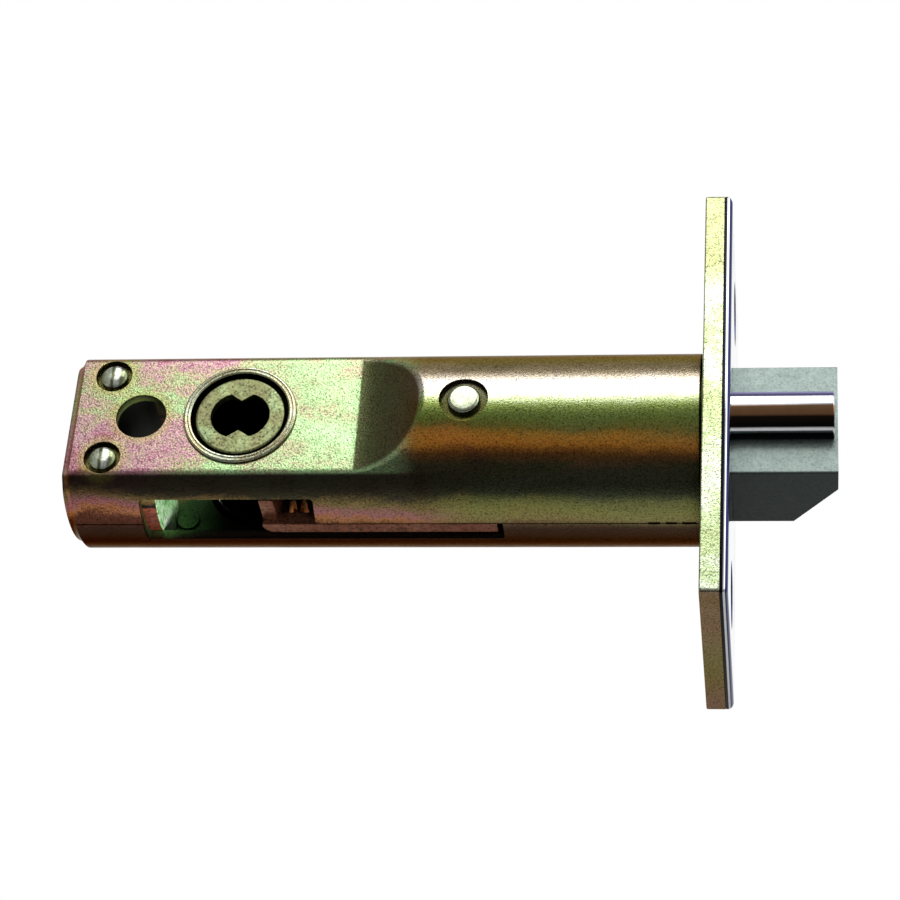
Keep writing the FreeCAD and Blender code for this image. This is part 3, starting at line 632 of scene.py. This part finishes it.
def tubeCutters():
    o = opening
    cutters = [
        prismPiece("cut_below", windowOutline(), "z", -outside, -o["depth"]),
        prismPiece("cut_above", windowOutline(), "z", o["depth"], outside),
        slitCutter("cut_seam", -79.0, 4.0, o["seamNear"], o["seamFar"], o["seamDepth"])]
    cutters += [slitCutter("cut_dash", x0, x1, o["dashNear"], o["dashFar"], o["dashDepth"])
                for x0, x1 in o["dashes"]]
    cutters += crossCutters("cut_hub", places["hubX"], 0, holes["hub"])
    cutters += crossCutters("cut_screw", places["screwX"], 0, holes["screw"])
    for z in (-places["pinZ"], places["pinZ"]):
        cutters += crossCutters("cut_pin", places["pinX"], z, holes["pin"], 40)
        cutters += crossCutters("cut_pin_recess", places["pinX"], z, holes["pinRecess"], 48,
                                holes["pinRecessFrom"])
    cutters += crossCutters("cut_rivet_recess", places["rivetX"], 0, holes["rivetRecess"], 48,
                            holes["rivetRecessFrom"])
    cutters += crossCutters("cut_rivet", places["rivetX"], 0, holes["rivet"], 32)
    return cutters


marks = {   # where a mark starts to rise and over what width: depths below the outer surface, lengths along X
    "wallDepth": (1.0, 0.25), "sunkDepth": (0.3, 0.2), "pressedDepth": (0.12, 0.25),
    "pressedFrom": (0.0, 0.2), "capLength": (2.0, 0.5), "runOutLength": 11.0}


def rising(value, limits):   # 0 up to the start, 1 beyond the width, straight between
    return np.clip((value - limits[0]) / limits[1], 0, 1)


def markSkin(piece):
    # point attributes of the tube, each running from 0 to 1: "inside" and "sunk" by the depth below its outer
    # surface, "pressed" on the run-outs. All three place painted shade, and "inside" also dulls the wall
    mesh = piece.data
    co = np.empty(len(mesh.vertices) * 3)
    mesh.vertices.foreach_get("co", co)
    x, y, z = co.reshape(-1, 3).T / mm
    away = np.hypot(y, z)
    depth = tubeRadius(x, np.arctan2(z, y), 0.0) - away
    inside = rising(depth, marks["wallDepth"]) * rising(x - tube["rear"], marks["capLength"])
    pressed = rising(x - tube["flatEnd"], marks["pressedFrom"])
    pressed *= rising(tube["radius"] - away, marks["pressedDepth"])
    pressed *= (depth < marks["sunkDepth"][0]) & (x < tube["flatEnd"] + marks["runOutLength"])
    sunk = rising(depth, marks["sunkDepth"]) * (1 - inside) * (x > tube["rear"] + marks["capLength"][0])
    for name, values in (("inside", inside), ("pressed", pressed), ("sunk", sunk)):
        mesh.attributes.new(name, "FLOAT", "POINT").data.foreach_set("value", values)


skin = tubePiece()
cutAway(skin, tubeCutters())
smoothByAngle(skin, 32)
markSkin(skin)
install(skin, "housing", "yellow_zinc", yellowZinc, "housing_tube")

print("stage: face plate")

facePlate = {
    "back": 2.35, "front": 3.35, "halfWidth": 14.2875, "halfLength": 28.575, "corner": 0.5,
    "frontRound": 0.72, "backRound": 0.14, "screwHole": 2.2, "sinkRadius": 4.2, "sinkDepth": 2.0,
    "screwAt": 20.65, "boltHalf": 7.93, "boltNear": -6.96, "boltFar": 4.49, "plungerHalf": 3.15,
    "plungerCentre": -7.35}


def facePlatePiece():
    # pressed sheet: a rounded rectangle carried along X, shrinking as a quarter round towards each face
    f = facePlate
    bend = np.linspace(0, math.pi / 2, 9)
    stations = [(f["back"] + f["backRound"] * (1 - math.sin(t)), f["backRound"] * (1 - math.cos(t)))
                for t in bend[::-1]]
    stations += [(f["front"] - f["frontRound"] * (1 - math.sin(t)), f["frontRound"] * (1 - math.cos(t)))
                 for t in bend]
    rings = []
    for x, shrink in stations:
        w, h = f["halfWidth"] - shrink, f["halfLength"] - shrink
        corners = [(a, b, f["corner"]) for a, b in ((-w, -h), (w, -h), (w, h), (-w, h))]
        rings.append((x, roundedLoop(corners, 6)))
    return alongX("face_sheet", rings)


def boltOpening():   # (y, z) outline: the bolt's rectangle with a half-round bay for the plunger
    f = facePlate
    t = np.linspace(-math.pi / 2, math.pi / 2, 33)
    bay = np.stack([f["plungerCentre"] - f["plungerHalf"] * np.cos(t), f["plungerHalf"] * np.sin(t)], -1)
    corners = [(f["boltNear"], f["boltHalf"]), (f["boltFar"], f["boltHalf"]), (f["boltFar"], -f["boltHalf"]),
               (f["boltNear"], -f["boltHalf"]), (f["boltNear"], -f["plungerHalf"])]
    return np.concatenate([corners, bay, [(f["boltNear"], f["plungerHalf"])]])


def sinkCutter(z):   # a screw's straight hole that opens as a cone towards the front
    f = facePlate
    slope = (f["sinkRadius"] - f["screwHole"]) / f["sinkDepth"]
    deep = f["front"] - f["sinkDepth"]
    return alongX("cut_sink", [
        (x, circleOutline(0, z, max(f["screwHole"], f["screwHole"] + slope * (x - deep)), 72))
        for x in (0.0, deep, f["front"] + 1.0)])


faceSheet = facePlatePiece()
faceCutters = [alongX("cut_bolt", [(0.0, boltOpening()), (5.0, boltOpening())])]
faceCutters += [sinkCutter(z) for z in (-facePlate["screwAt"], facePlate["screwAt"])]
cutAway(faceSheet, faceCutters)
smoothByAngle(faceSheet, 32)
install(faceSheet, "housing", "chrome_plate", chromeSheet, "face_plate")

print("stage: collars, pins, rivets")

collar = {
    "radius": 7.05, "neck": holes["hub"], "faceGap": 6.1, "bore": 5.66, "outer": 8.85, "surface": 8.4,
    "inner": 7.1, "gapDepth": 0.9, "rimRound": 0.26, "gapRound": 0.22, "dip": 6.56, "dipHalf": 0.17,
    "dipDepth": 0.12, "dipRound": 0.06, "around": 128}


def collarPiece(name, side):
    # beaded ring: a closed (r, y) loop with rounded rim corners and a shallow dip, turned round the hub
    c = collar
    gapFloor = c["outer"] - c["gapDepth"]
    loop = roundedLoop([
        (c["radius"], c["outer"], c["rimRound"]), (c["radius"], c["surface"], 0),
        (c["neck"], c["surface"], 0), (c["neck"], c["inner"], 0), (c["bore"], c["inner"], 0),
        (c["bore"], gapFloor, 0), (c["faceGap"], gapFloor, 0), (c["faceGap"], c["outer"], c["gapRound"]),
        (c["dip"] - c["dipHalf"], c["outer"], c["dipRound"]),
        (c["dip"], c["outer"] - c["dipDepth"], c["dipRound"]),
        (c["dip"] + c["dipHalf"], c["outer"], c["dipRound"])])
    return turnedPiece(name, np.concatenate([loop, loop[:1]]), places["hubX"], 0, side, c["around"])


pin = {"radius": holes["pin"], "seat": 8.3, "top": 8.68, "fullness": 3.5, "around": 64}


def pinPiece(name, z):
    # rear pin: a rod across the tube; the height of its two shallow domes falls as a power of the radius
    s = np.linspace(0, 1, 14)
    r = pin["radius"] * s
    y = pin["seat"] + (pin["top"] - pin["seat"]) * (1 - s ** pin["fullness"])
    profile = np.concatenate([np.stack([r, -y], -1), np.stack([r[::-1], y[::-1]], -1)])
    return turnedPiece(name, profile, places["pinX"], z, 1, pin["around"])


rivet = {"radius": 2.0, "shank": holes["rivet"], "seat": holes["rivetRecessFrom"], "top": 11.95, "edge": 0.45,
         "middle": 0.8, "depth": 10.35, "around": 64}


def rivetPiece(name, side):
    # guide rivet: a flat head with a quarter-round rim over a short shank
    r = rivet
    t = np.linspace(0, math.pi / 2, 7)
    rim = np.stack([r["radius"] - r["edge"] + r["edge"] * np.sin(t),
                    r["top"] - r["edge"] + r["edge"] * np.cos(t)], -1)
    profile = np.concatenate([
        [(0, r["top"]), (r["middle"], r["top"])], rim,
        [(r["radius"], r["seat"]), (r["shank"], r["seat"]), (r["shank"], r["depth"]), (0, r["depth"])]])
    return turnedPiece(name, profile, places["rivetX"], 0, side, r["around"])


install(collarPiece("collar_ring_near", -1), "housing", "yellow_zinc", collarZinc, "hub_collar_near")
install(collarPiece("collar_ring_far", 1), "housing", "yellow_zinc", collarZinc, "hub_collar_far")
install(pinPiece("pin_upper", places["pinZ"]), "housing", "bright_steel", pinSteel, "rear_pin_upper")
install(pinPiece("pin_lower", -places["pinZ"]), "housing", "bright_steel", pinSteel, "rear_pin_lower")
install(rivetPiece("rivet_near", -1), "housing", "bright_steel", brightSteel, "guide_rivet_near")
install(rivetPiece("rivet_far", 1), "housing", "bright_steel", brightSteel, "guide_rivet_far")

print("stage: guard plunger")

plunger = {
    "halfWidth": 2.95, "foot": -6.82, "footShare": 0.6, "flank": -7.2, "crown": -10.3, "full": 2.25,
    "rear": -1.1, "tip": 15.63, "tipRound": 0.2, "footRound": 0.06, "around": 48}
keel = {"radius": 2.1, "y": plunger["flank"], "rear": plunger["rear"], "front": 2.0, "around": 48}
stem = {"radius": 1.2, "y": plunger["flank"], "rear": -5.9, "front": plunger["rear"], "around": 48}


def plungerOutline(shrink):
    # bar's (y, z) section: a flat foot, short flanks and a crown that is half of a slightly full superellipse
    p = plunger
    t = np.linspace(-math.pi / 2, math.pi / 2, p["around"])
    half = p["halfWidth"] - shrink
    rise = p["flank"] - p["crown"] - shrink
    power = 2 / p["full"]
    z = half * np.sign(np.sin(t)) * np.abs(np.sin(t)) ** power
    y = p["flank"] - rise * np.abs(np.cos(t)) ** power
    foot = p["foot"] - shrink * p["footRound"] / p["tipRound"]
    inner = half * p["footShare"]
    return np.concatenate([
        [(foot, -inner), (foot, -half)], np.stack([y, z], -1), [(foot, half), (foot, inner)]])


def plungerPiece():
    # the bar carried along X, its section drawn in over a small quarter round at the tip
    p = plunger
    rings = [(p["rear"], plungerOutline(0.0))]
    for t in np.linspace(0, math.pi / 2, 6):
        x = p["tip"] - p["tipRound"] + p["tipRound"] * math.sin(t)
        rings.append((x, plungerOutline(p["tipRound"] * (1 - math.cos(t)))))
    piece = alongX("plunger_bar", rings)
    smoothByAngle(piece, 25)
    return piece


def rodPiece(name, user):   # a plain round rod along X
    outline = circleOutline(user["y"], 0, user["radius"], user["around"])
    piece = alongX(name, [(user["rear"], outline), (user["front"], outline)])
    smoothByAngle(piece, 40)
    return piece


install(plungerPiece(), "plunger", "chrome_plate", chromeBar, "guard_plunger")
install(rodPiece("plunger_keel", keel), "plunger", "chrome_plate", chrome)
install(rodPiece("plunger_stem", stem), "plunger", "chrome_plate", chrome)

print("stage: springs")

endTurns = 0.75   # turns at each end that lie flat
coils = {   # seats at both ends and the one that stays, place, wire and turns, and what the coil stands for
    "bolt_coil": {
        "rear": -26.0, "front": -9.0, "stays": "rear", "y": -0.3, "z": 0.0, "radius": 3.45, "wire": 0.9,
        "turns": 4.5, "body": "housing", "slot": "spring_steel", "finish": springSteel,
        "node": "bolt_spring"},
    "plunger_coil": {
        "rear": -31.0, "front": -1.1, "stays": "front", "y": -7.2, "z": 0.0, "radius": 1.7, "wire": 0.5,
        "turns": 9, "body": "bolt", "slot": "spring_steel", "finish": springSteel, "node": "plunger_spring"},
    "return_coil": {
        "rear": -52.075, "front": -33.75, "stays": "rear", "y": 4.7, "z": -6.0, "radius": 1.4, "wire": 0.6,
        "turns": 9, "body": "housing", "slot": "copper_wire", "finish": copper, "node": "return_spring"}}


def springPiece(name, user, ringSteps=12, turnSteps=40):
    # coil: a helix about an X line, its pitch easing to flat ends, with a round wire carried along it
    turns, half = user["turns"], user["wire"] / 2
    s = np.linspace(0, 1, int(turns * turnSteps) + 1)
    flat = endTurns / turns
    inner = np.clip((s - flat) / (1 - 2 * flat), 0, 1)
    along = user["rear"] + half + (user["front"] - user["rear"] - user["wire"]) * inner
    turn = 2 * math.pi * turns * s
    out = np.stack([np.zeros_like(turn), np.cos(turn), np.sin(turn)], -1)
    centre = np.stack([along, np.full_like(turn, user["y"]), np.full_like(turn, user["z"])], -1)
    centre += user["radius"] * out
    tangent = np.gradient(centre, axis=0)
    tangent /= np.linalg.norm(tangent, axis=1)[:, None]
    out -= (out * tangent).sum(1)[:, None] * tangent
    out /= np.linalg.norm(out, axis=1)[:, None]
    side = np.cross(tangent, out)
    ring = np.linspace(0, 2 * math.pi, ringSteps, endpoint=False)[None, :, None]
    points = centre[:, None] + half * (np.cos(ring) * out[:, None] + np.sin(ring) * side[:, None])
    piece = makePiece(name, *gridMesh(closedEnds(points)))
    smoothByAngle(piece, 60)
    return piece


for name, user in coils.items():
    coil = springPiece(name, user)
    install(coil, user["body"], user["slot"], user["finish"], user["node"])
    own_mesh(coil)

print("stage: floor, world, lights, camera")

floor = {"level": -0.7, "halfWidth": 2.0, "near": -0.05, "far": 2.5, "patch": 0.125, "lift": 0.52}


def floorPiece():
    # pale plain floor well below the latch, in metres; its lift for camera rays makes it white
    f = floor
    mesh = bpy.data.meshes.new("floor")
    mesh.from_pydata([(x, y, f["level"]) for x, y in (
        (-f["halfWidth"], f["near"]), (f["halfWidth"], f["near"]), (f["halfWidth"], f["far"]),
        (-f["halfWidth"], f["far"]))], [], [(0, 1, 2, 3)])
    piece = linkPiece("floor", mesh)
    material = newMaterial("pale_floor")
    tree = material.node_tree
    clouds = addNode(tree, "TexNoise", "Fac", {
        "Vector": objectPlace(tree), "Scale": 1 / f["patch"], "Detail": 3.0})
    tint = addNode(tree, "ValToRGB", "Color", [clouds], [(0.3, "#c2c2be"), (0.7, "#c8c8c4")])
    seen = addNode(tree, "LightPath", "Is Camera Ray")
    lift = addNode(tree, "MapRange", "Result", [seen, 0.0, 1.0, 0.0, f["lift"]])
    piece.data.materials.append(giveSurface(material, {
        "Base Color": tint, "Roughness": 0.8, "Emission Color": (1, 1, 1, 1), "Emission Strength": lift}))


floorPiece()

studio = {
    "backdrop": 1.0,   # white sweep behind the latch
    "diffuse": (-0.5, 0.5, 0.06, 0.85),   # from, to, and what matt surfaces get from below and from above
    "room": (0.0, 0.6, 0.31, 0.36),       # from, to, and the room's level at eye height and high up
    "dark": 0.12, "open": 0.85,           # levels of the dark pit and of the light part
    "glow": 0.95, "side": 1.2,            # levels of the two windows
    "lobes": {   # direction and the cosines between which its share runs from 0 to 1
        "sweep": ((-0.1244, 0.8295, 0.5448), 0.968, 0.98),   # the line of sight
        "glow": ((-0.1, -0.82, 0.563), 0.962, 0.992),        # a dim window behind the camera, above its head
        "side": ((0.75, -0.35, 0.56), 0.88, 0.96)},          # and another far to the right
    "zones": {   # an axis of the direction, and where the zone's share is 0 and 1
        "near": ("Y", 0.13, -0.02), "low": ("Z", -0.36, -0.5), "far": ("Y", -0.1, 0.3),
        "right": ("X", 0.45, 0.7), "above": ("Z", -0.2, 0.05)}}


def makeWorld():
    # White for camera rays. Glossy and transmission rays see a white sweep near the line of sight and a dim
    # room elsewhere: light on the far side and at the right end, dark below the camera, with two windows.
    # Matt surfaces get a plain sky that is lighter above.
    world = bpy.data.worlds.new("studio")
    bpy.context.scene.world = world
    world.use_nodes = True
    tree = world.node_tree
    tree.nodes.clear()
    rays = addNode(tree, "LightPath")[0]
    towards = addNode(tree, "TexCoord", "Generated")
    split = addNode(tree, "SeparateXYZ", None, [towards])[0]
    share = {}
    for name, (line, start, end) in studio["lobes"].items():
        along = addNode(tree, "VectorMath", "Value", [towards, line], operation="DOT_PRODUCT")
        share[name] = addNode(tree, "MapRange", "Result", [along, start, end],
                              interpolation_type="SMOOTHSTEP")
    for name, (axis, start, end) in studio["zones"].items():
        share[name] = addNode(tree, "MapRange", "Result", [(split, axis), start, end],
                              interpolation_type="SMOOTHSTEP")
    room = addNode(tree, "MapRange", "Result", [(split, "Z"), *studio["room"]])
    pit = addNode(tree, "Math", "Value", [share["near"], share["low"]], operation="MULTIPLY")
    room = addNode(tree, "MapRange", "Result", [pit, 0.0, 1.0, room, studio["dark"]])
    light = addNode(tree, "Math", "Value", [share["far"], share["right"]], operation="MAXIMUM")
    light = addNode(tree, "Math", "Value", [light, share["above"]], operation="MULTIPLY")
    room = addNode(tree, "MapRange", "Result", [light, 0.0, 1.0, room, studio["open"]])
    for name in ("glow", "side"):
        room = addNode(tree, "Math", "Value", [share[name], studio[name], room], operation="MULTIPLY_ADD")
    shiny = addNode(tree, "MapRange", "Result", [share["sweep"], 0.0, 1.0, room, studio["backdrop"]])
    matt = addNode(tree, "MapRange", "Result", [(split, "Z"), *studio["diffuse"]])
    mirror = addNode(tree, "Math", "Value", [(rays, "Is Glossy Ray"), (rays, "Is Transmission Ray")],
                     operation="MAXIMUM")
    level = addNode(tree, "MapRange", "Result", [mirror, 0.0, 1.0, matt, shiny])
    level = addNode(tree, "MapRange", "Result", [
        (rays, "Is Camera Ray"), 0.0, 1.0, level, studio["backdrop"]])
    background = addNode(tree, "Background", "Background", {"Color": (1, 1, 1, 1), "Strength": level})
    addNode(tree, "OutputWorld", inputs={"Surface": background})


makeWorld()

# metres and watts; the fill reaches matt surfaces inside the window, without a second glint on the metal
lamps = {
    "key": {"place": (0.0, -0.32, 0.38), "aim": (-0.03, 0.0, 0.0), "width": 0.34, "height": 0.3,
            "watts": 0.85, "glints": True},
    "fill": {"place": (0.12, -0.12, -0.2), "aim": (-0.06, 0.0, -0.008), "width": 0.08, "height": 0.08,
             "watts": 1.7, "glints": False}}

for name, user in lamps.items():
    lamp = bpy.data.lights.new(name, "AREA")
    lamp.shape = "RECTANGLE"
    lamp.size, lamp.size_y = user["width"], user["height"]
    lamp.energy = user["watts"]
    piece = linkPiece(name, lamp)
    piece.location = user["place"]
    piece.rotation_euler = (Vector(user["aim"]) - Vector(user["place"])).to_track_quat("-Z", "Y").to_euler()
    piece.visible_glossy = user["glints"]

shot = {"place": (0.012552, -0.295804, -0.194047), "yaw": 0.1489, "pitch": 0.5761, "roll": 0.076,
        "lens": 114.477, "sensor": 36.0, "clipStart": 0.01}   # metres, radians, mm

camera = bpy.data.cameras.new("camera")
camera.sensor_width = shot["sensor"]
camera.lens = shot["lens"]
camera.clip_start = shot["clipStart"]
cameraObject = linkPiece("camera", camera)
bpy.context.scene.camera = cameraObject


def aimCamera(yaw, pitch, roll):
    # looks along +Y, turned by yaw, raised by pitch and rolled about its own line of sight
    view = np.array([-math.sin(yaw) * math.cos(pitch), math.cos(yaw) * math.cos(pitch), math.sin(pitch)])
    level = np.array([math.cos(yaw), math.sin(yaw), 0.0])
    over = np.cross(level, view)
    right = math.cos(roll) * level + math.sin(roll) * over
    up = -math.sin(roll) * level + math.cos(roll) * over
    turned = np.eye(4)
    turned[:3] = np.stack([right, up, -view, shot["place"]], -1)
    cameraObject.matrix_world = Matrix(turned.tolist())


aimCamera(shot["yaw"], shot["pitch"], shot["roll"])
bpy.context.scene.view_settings.view_transform = "Standard"
